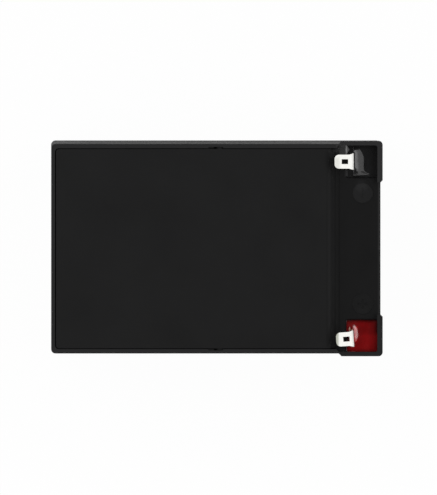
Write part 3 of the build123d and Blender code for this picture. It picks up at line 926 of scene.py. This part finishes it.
def set_camera(scene, studio):
    """The camera above the case, leaning towards the side of the negative terminal."""
    data = bpy.data.cameras.new("Camera")
    data.type = "ORTHO"
    data.ortho_scale = studio.view_height
    data.clip_start = 0.05
    camera = bpy.data.objects.new("Camera", data)
    camera.rotation_euler = (-studio.tilt, 0.0, 0.0)
    away = Vector((0.0, math.sin(studio.tilt), math.cos(studio.tilt)))
    camera.location = Vector(studio.aim) + studio.distance * away
    scene.collection.objects.link(camera)
    scene.camera = camera


def background_rays(tree):
    """The kinds of light path, and those of them that see the background as plain white."""
    rays = add_node(tree, "LightPath").outputs
    return rays, maths(tree, "ADD", rays["Is Camera Ray"], rays["Is Transmission Ray"], clamp=True)


def lay_floor(studio):
    """A plain pale floor that keeps a soft shadow."""
    material = bpy.data.materials.new("Pale Floor")
    tree = open_nodes(material)
    rays, seen = background_rays(tree)
    seen = maths(tree, "MULTIPLY", seen, studio.floor_glow)
    seen = add_share(tree, seen, rays["Is Glossy Ray"], studio.floor_mirror)
    lit = add_node(tree, "BsdfDiffuse", {"Color": floor_paint}).outputs["BSDF"]
    glow = add_node(tree, "Emission", {"Color": white, "Strength": 1.0})
    mixed = add_node(tree, "MixShader", {0: seen, 1: lit, 2: glow.outputs["Emission"]})
    add_node(tree, "OutputMaterial", {"Surface": mixed.outputs["Shader"]})
    material.cycles.emission_sampling = "NONE"
    set_out_nodes(tree)
    shape = bmesh.new()
    bmesh.ops.create_grid(shape, x_segments=8, y_segments=8, size=studio.floor_size / 2)
    floor = set_down("floor", shape, material)


def hang_lamps(scene, studio):
    """The main softbox over the far end, and a panel and a bright strip over the terminals' end."""
    panel_power = math.pi * panel_size[0] * panel_size[1] * studio.panel_glow
    strip_power = math.pi * strip_size[0] * strip_size[1] * studio.strip_glow
    lamps = (
        ("Key Softbox", studio.key_lean, studio.key_turn, key_distance, key_size, studio.key_power),
        ("End Panel", studio.panel_lean, studio.panel_turn, panel_distance, panel_size, panel_power),
        ("End Strip", studio.strip_lean, studio.panel_turn, panel_distance, strip_size, strip_power),
    )
    for name, lean, around, distance, size, power in lamps:
        data = bpy.data.lights.new(name, "AREA")
        data.shape = "RECTANGLE"
        data.size, data.size_y = size
        data.energy = power
        lamp = bpy.data.objects.new(name, data)
        out = math.sin(lean)
        way = Vector((out * math.cos(around), out * math.sin(around), math.cos(lean)))
        lamp.location = Vector((0.0, 0.0, rim_height)) + distance * way
        side = Vector((-math.sin(around), math.cos(around), 0.0))
        lamp.rotation_euler = Matrix((side.cross(way), side, way)).transposed().to_euler()
        scene.collection.objects.link(lamp)


def fill_surroundings(scene, studio):
    """White behind the case, and plain light that fades towards straight above for what is shiny."""
    world = bpy.data.worlds.new("Surroundings")
    scene.world = world
    tree = open_nodes(world)
    rays, seen = background_rays(tree)
    shiny = rays["Is Glossy Ray"]
    up = split(tree, add_node(tree, "TexCoord").outputs["Generated"])["Z"]
    around = spread(tree, up, dim_above, bright_below, studio.overhead, 1.0, smooth=True)
    rest = maths(tree, "SUBTRACT", maths(tree, "SUBTRACT", 1.0, seen), shiny, clamp=True)
    strength = add_share(tree, add_share(tree, seen, shiny, around), rest, studio.sky)
    light = add_node(tree, "Background", {"Color": white, "Strength": strength})
    add_node(tree, "OutputWorld", {"Surface": light.outputs["Background"]})
    world.cycles.sampling_method = "NONE"
    set_out_nodes(tree)


# Operators

class BatteryOperator:
    """What the operators share."""

    bl_options = {"REGISTER", "UNDO"}


class OBJECT_OT_battery_case(BatteryOperator, bpy.types.Operator):
    """Finish the jar, the lid and the top plate"""

    bl_idname = "object.battery_case"
    bl_label = "Finish Case"

    def execute(self, context):
        plastic = context.scene.battery.plastic
        pale = plastic.disc_gain
        faint = faint_share * pale
        lid_zones = {
            "rim": zone((-10.0, 0.0, RIM), (66.0, 60.0, 0.9), 0.9),
            # Painted shade: the recessed strip darker than the rim.
            "strip": zone((64.0, 0.0, STRIP - 1.0), (12.5, 46.0, 1.9), -0.44),
            # Painted light: the guards' tops paler, the upper guard much more than the lower, as light falls
            # from the upper side.
            "upper guard": zone((66.0, 46.0, RIM), (12.0, 17.0, 0.9), 1.5),
            "lower guard": zone((66.0, -46.0, RIM), (12.0, 17.0, 0.9), 0.55),
            # Painted highlight along the strip's rounded end edge, stronger on its upper half.
            "upper edge": zone((74.5, 15.2, STRIP), (1.4, 15.8, 1.2), 1.75),
            "lower edge": zone((74.5, -15.2, STRIP), (1.4, 15.8, 1.2), 1.1),
            # Painted highlight along the lip of the upper well, below the tab.
            "lip of the upper well": zone((58.65, 34.5, STRIP), (0.55, 1.8, 1.0), 3.0),
            # The residue zone is painted light: the strip paler in the corner by the upper guard, lifting the
            # shade of the walls there.
            "residue": zone((55.8, 45.5, STRIP), (2.2, 3.0, 1.0), 2.8),
            # The discs are paler, the upper much more than the lower; the arcs are painted highlights on
            # their outer sides.
            "upper disc": disc(disc_x, disc_y, disc_radius, pale, disc_edge),
            "upper arc": disc(disc_x - arc_lean, disc_y + arc_shift, arc_radius, pale, arc_edge),
            "lower disc": disc(disc_x, -disc_y, disc_radius, faint, disc_edge),
            "lower arc": disc(disc_x, -disc_y - arc_shift, arc_radius, 2.0 * faint, arc_edge),
        }
        plate_zones = {
            # Painted shade: the plate's sloping end darker as it falls to the strip.
            "fall": zone((51.2, 0.0, 94.0), (1.7, 60.0, 2.0), -0.16),
            "nose": zone((55.6, 0.0, 92.0), (2.3, 60.0, 1.6), -0.72),
            # Painted light: the plate paler in the corner by the upper guard, lifting the shade of the walls;
            # the haze zone is the same painted light, spread wider.
            "painted corner light": zone((54.6, 46.0, 92.0), (2.0, 2.4, 3.0), 1.6),
            "haze": zone((54.0, 45.0, 92.0), (3.6, 4.0, 3.0), 0.6),
        }
        dress("jar", dark_plastic("Moulded Jar", plastic, sinks=True))
        # The lid's edges are worn harder: real rubbing and a painted sheen along its rims.
        dress("lid", dark_plastic("Moulded Lid", plastic, lid_zones.values(), wear_and_sheen=1.5))
        dress("top_plate", dark_plastic("Moulded Top Plate", plastic, plate_zones.values()))
        return {"FINISHED"}


class OBJECT_OT_battery_seam(BatteryOperator, bpy.types.Operator):
    """Lay the thin bead of resin that was pressed out of the seam"""

    bl_idname = "object.battery_seam"
    bl_label = "Lay Seam Bead"

    def execute(self, context):
        material = cast_resin("Seam Resin", context.scene.battery.inside.bond, 0.3)
        shape = bmesh.new()
        rings = []
        for place, way in case_outline(seam_inset, seam_step):
            bulge = seam_bulge * (1.0 + seam_unevenness * waves(place.x * 0.25, place.y * 0.25, 1.7))
            ring = []
            for part in range(seam_sides):
                angle = 2.0 * math.pi * part / seam_sides
                out = bulge * math.cos(angle)
                up = seam_tallness * bulge * math.sin(angle)
                ring.append(shape.verts.new((place.x + way.x * out, place.y + way.y * out, seam_height + up)))
            rings.append(ring)
        for ring, after in zip(rings, rings[1:] + rings[:1]):
            for part in range(seam_sides):
                turn_on = (part + 1) % seam_sides
                shape.faces.new((ring[part], after[part], after[turn_on], ring[turn_on]))
        finish_piece("seam_bead", shape, material)
        return {"FINISHED"}


class OBJECT_OT_battery_terminals(BatteryOperator, bpy.types.Operator):
    """Finish the tabs and the solder under them"""

    bl_idname = "object.battery_terminals"
    bl_label = "Finish Terminals"

    def execute(self, context):
        terminals = context.scene.battery.terminals
        # Painted shade: the bevelled ends of the tabs blended towards the dull patches' colour, the positive
        # one more.
        shaded_tips = {"positive": zone((53.7, -41.4, 101.0), (2.3, 6.0, 2.0), 0.85, softness=1.1),
                "negative": zone((54.0, 39.0, 101.0), (3.0, 4.0, 2.0), 0.35, softness=2.4)}
        solder = soft_metal("Satin Solder", terminals.solder, terminals.tarnish_and_tip_shade, roughness=0.38,
                            patch=1.6 * MM, scratch=0.4 * MM, depth=0.02 * MM, stretch=1.2)
        for pole, shaded_tip in shaded_tips.items():
            tin = soft_metal(f"Matt Tin {pole.title()}", terminals.tin, terminals.tarnish_and_tip_shade,
                             terminals.roughness, terminals.patch, terminals.scratch,
                             edge_colour=terminals.brass, metallic=terminals.metallic, dullness=0.08,
                             zones=(shaded_tip,))
            dress(f"{pole}_tab", tin)
            dress(f"{pole}_solder", solder)
        make_bead(soft_metal("Stained Solder", terminals.stained, terminals.tarnish_and_tip_shade, roughness=0.35,
                             patch=0.6 * MM, scratch=0.3 * MM, dullness=0.25))
        return {"FINISHED"}


class OBJECT_OT_battery_resin(BatteryOperator, bpy.types.Operator):
    """Cast the red and the black resin into their wells"""

    bl_idname = "object.battery_resin"
    bl_label = "Cast Resin"

    def execute(self, context):
        resin = context.scene.battery.resin
        # The smear zone is a painted highlight on the black resin along the lip of its well, below the tab.
        smear = zone((59.1, 34.4, 91.0), (0.5, 1.7, 2.0), 4.0, softness=0.35)
        film_zones = {
            # Painted light on the film: lip is a painted highlight along the lip; ramp makes it paler down
            # its slope into the well; bank is painted light that lifts the shade of the guard's wall.
            "lip": zone((59.0, 45.0, STRIP), (0.48, 6.0, 2.0), 3.4, softness=0.3),
            "ramp": zone((60.0, 45.0, 91.0), (0.9, 4.0, 2.0), 0.7, softness=0.4),
            "bank": zone((57.5, 47.0, STRIP), (3.0, 1.2, 2.0), 0.8, softness=0.8),
        }
        red_zones = {
            # Painted light and shade on the red resin: over a low base tone it is paler in the middle, away
            # from its walls, and towards the lower right corner; shade is a painted shadow under the tab, and
            # glow a painted highlight, a crescent in front of the leg.
            "painted pool of light": zone((65.7, -39.9, LEVEL), (7.7, 7.7, 3.0), 0.66, softness=2.3),
            "corner": zone((70.0, -47.0, LEVEL), (11.0, 10.0, 3.0), 1.05, softness=6.5),
            "shade": zone((59.0, -41.0, LEVEL), (2.6, 3.6, 3.0), -0.65, softness=0.8),
            "glow": zone((63.2, -39.0, LEVEL), (1.3, 3.9, 3.0), 1.7, softness=1.2),
        }
        black = cast_resin("Black Resin", resin.black, resin.roughness, specular=0.4, zones=(smear,))
        film = cast_resin("Black Resin Film", resin.residue, 0.3, specular=0.5, zones=film_zones.values())
        red = cast_resin("Red Resin", resin.red, resin.roughness, specular=0.85, base=0.2,
                         zones=red_zones.values())
        black_mound = Mound(leg_y=black_leg_y, yaw=0.0, slopes=(0.235, 0.375), bend=2.5 * MM,
                            front=resin.black_reach, middle=0.25 * MM, plus=(6.3 * MM, 2.2),
                            minus=(7.2 * MM, 7.0), behind=0.1, starts=mm(-0.05, 0.4))
        red_mound = Mound(leg_y=red_leg_y, yaw=red_leg_yaw, slopes=(0.375, 0.29), bend=0.8 * MM,
                          front=resin.red_reach, middle=2.4 * MM, plus=(3.95 * MM, 1.85),
                          minus=(4.1 * MM, 2.0), behind=0.35, starts=mm(0.2, 0.0))
        make_resin_fill("black", 1, black_mound, black, "negative_resin", resin, seed=1.3)
        make_resin_fill("red", -1, red_mound, red, "positive_resin", resin, seed=4.1)
        make_overflow(film)
        return {"FINISHED"}


class OBJECT_OT_battery_cells(BatteryOperator, bpy.types.Operator):
    """Finish what is sealed inside: plates, mats, links, valve caps, seal rings and the lid's bond"""

    bl_idname = "object.battery_cells"
    bl_label = "Finish Cells"

    def execute(self, context):
        inner = context.scene.battery.inside
        brown = crumbly("Positive Paste", inner.positive_paste, inner.crust, roughness=0.8, depth=0.08 * MM)
        grey = crumbly("Negative Paste", inner.negative_paste, inner.crust, roughness=0.6, depth=0.05 * MM)
        felt = crumbly("Glass Felt", inner.felt, inner.fibre, roughness=0.85, depth=0.12 * MM,
                       stretch=(6.0, 1.0, 2.0), darkest=0.9, sheen=0.3)
        rubber = crumbly("Soft Rubber", inner.rubber, 0.4 * MM, roughness=0.7, depth=0.01 * MM, darkest=0.85)
        lead = soft_metal("Cast Lead", inner.lead, inner.dull_lead, roughness=0.55, patch=4.0 * MM,
                          scratch=0.8 * MM, depth=0.03 * MM, stretch=1.0)
        for number in CELLS:
            dress(f"positive_plates_{number}", brown)
            dress(f"negative_plates_{number}", grey)
            dress(f"glass_mats_{number}", felt)
            dress(f"valve_cap_{number}", rubber)
        for number in CELLS[:-1]:
            dress(f"cell_link_{number}_{number + 1}", lead)
        for pole in ("positive", "negative"):
            dress(f"{pole}_seal_ring", rubber)
        dress("lid_bond", cast_resin("Bond Resin", inner.bond, 0.35))
        return {"FINISHED"}


class OBJECT_OT_battery_studio(BatteryOperator, bpy.types.Operator):
    """Set the camera, the floor, the lamps and the surroundings"""

    bl_idname = "object.battery_studio"
    bl_label = "Set Studio"

    def execute(self, context):
        studio = context.scene.battery.studio
        set_camera(context.scene, studio)
        lay_floor(studio)
        hang_lamps(context.scene, studio)
        fill_surroundings(context.scene, studio)
        context.scene.view_settings.view_transform = "Standard"
        return {"FINISHED"}


class VIEW3D_PT_battery(bpy.types.Panel):
    """The battery's settings and steps"""

    bl_idname = "VIEW3D_PT_battery"
    bl_label = "Battery"
    bl_space_type = "VIEW_3D"
    bl_region_type = "UI"
    bl_category = "Battery"

    def draw(self, context):
        settings = context.scene.battery
        for part in ("plastic", "resin", "terminals", "inside", "studio"):
            box = self.layout.box()
            box.label(text=part.title())
            values = getattr(settings, part)
            for name in values.__annotations__:
                box.prop(values, name)
        for operator in STEPS:
            self.layout.operator(operator.bl_idname)


STEPS = (
    OBJECT_OT_battery_case,
    OBJECT_OT_battery_seam,
    OBJECT_OT_battery_terminals,
    OBJECT_OT_battery_resin,
    OBJECT_OT_battery_cells,
    OBJECT_OT_battery_studio,
)
CLASSES = (
    BatteryPlastic,
    BatteryResin,
    BatteryTerminals,
    BatteryInside,
    BatteryStudio,
    BatterySettings,
    *STEPS,
    VIEW3D_PT_battery,
)


def register():
    for kind in CLASSES:
        bpy.utils.register_class(kind)
    bpy.types.Scene.battery = PointerProperty(type=BatterySettings)


def unregister():
    del bpy.types.Scene.battery
    for kind in reversed(CLASSES):
        bpy.utils.unregister_class(kind)


def main():
    """Registers the add-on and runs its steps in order."""
    register()
    bpy.ops.object.battery_case()
    bpy.ops.object.battery_seam()
    bpy.ops.object.battery_terminals()
    bpy.ops.object.battery_resin()
    bpy.ops.object.battery_cells()
    bpy.ops.object.battery_studio()


if __name__ == "__main__":
    main()
